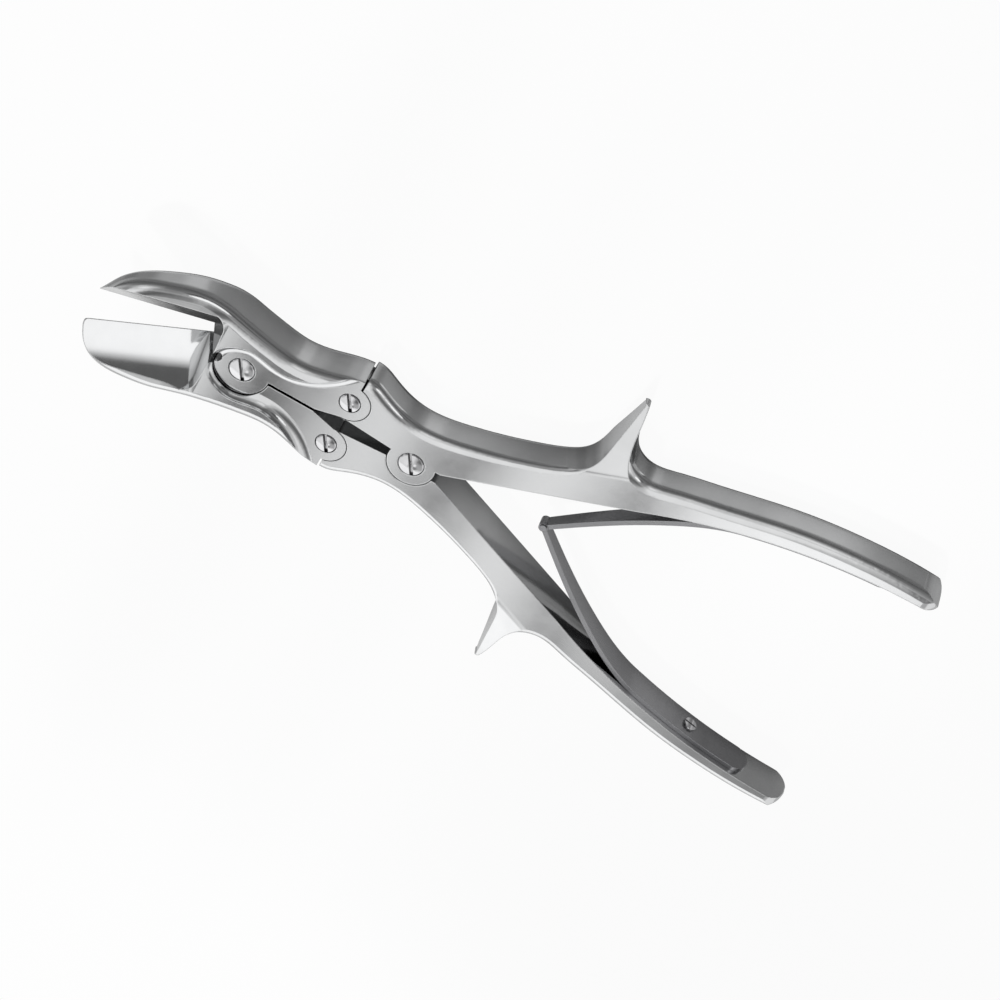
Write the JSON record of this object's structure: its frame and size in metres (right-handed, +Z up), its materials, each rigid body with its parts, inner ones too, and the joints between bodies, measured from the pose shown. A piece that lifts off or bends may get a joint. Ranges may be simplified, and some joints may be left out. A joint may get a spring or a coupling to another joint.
{
  "type": "bone cutting forceps",
  "caption": "Double-action bone cutting forceps with angled blades, finger spurs and leaf springs between the handles.",
  "frame": {"origin": "on the rear pivot's axis, in the resting plane that touches the back of the handles", "axes": "+X from the rear pivot towards the handle ends, +Y towards the upper handle with the front lap, +Z up from the resting plane to the screw heads"},
  "size_m": [0.2658, 0.1222, 0.0244],
  "materials": {
    "jaw_steel": "polished stainless steel with a fine ground grain",
    "handle_steel": "polished stainless steel with a fine ground grain",
    "screw_steel": "turned and polished stainless steel",
    "spring_steel": "satin spring steel"
  },
  "bodies": {
    "lower_handle_group": {"lower_handle": "handle_steel", "handle_pivot_screw": "screw_steel", "lower_link_screw": "screw_steel", "lower_leaf_spring": "spring_steel", "lower_spring_screw": "screw_steel"},
    "upper_handle_group": {"upper_handle": "handle_steel", "upper_link_screw": "screw_steel", "upper_leaf_spring": "spring_steel", "upper_spring_screw": "screw_steel"},
    "lower_jaw_group": {"lower_jaw": "jaw_steel", "jaw_pivot_screw": "screw_steel"},
    "upper_jaw_group": {"upper_jaw": "jaw_steel"},
    "spring_knuckle_group": {"spring_hinge_pin": "spring_steel"}
  },
  "joints": [
    {"name": "squeeze", "type": "hinge", "parent": "lower_handle_group", "child": "upper_handle_group", "pos_m": [0, 0, 0], "axis": [0, 0, 1], "range_deg": [-20.15, 0], "stiffness_Nm_per_rad": 4, "springref_deg": 6.88, "deforming": ["upper_leaf_spring", "lower_leaf_spring"]},
    {"name": "lower_link", "type": "hinge", "parent": "lower_handle_group", "child": "lower_jaw_group", "pos_m": [-0.0256, -0.0094, 0], "axis": [0, 0, 1], "range_deg": [-17.75, 0]},
    {"name": "jaw_hinge", "type": "hinge", "parent": "lower_jaw_group", "child": "upper_jaw_group", "pos_m": [-0.059, 0, 0], "axis": [0, 0, 1], "range_deg": [0, 15.3]},
    {"name": "spring_knuckle", "type": "hinge", "parent": "lower_handle_group", "child": "spring_knuckle_group", "pos_m": [0, 0, 0], "axis": [0, 0, 1], "range_deg": [-10.2, 0], "deforming": ["upper_leaf_spring", "lower_leaf_spring"]}
  ],
  "couplings": [
    {"joint": "lower_link", "follows": "squeeze", "ratio": 0.877},
    {"joint": "jaw_hinge", "follows": "squeeze", "ratio": -0.754},
    {"joint": "spring_knuckle", "follows": "squeeze", "ratio": 0.5}
  ]
}
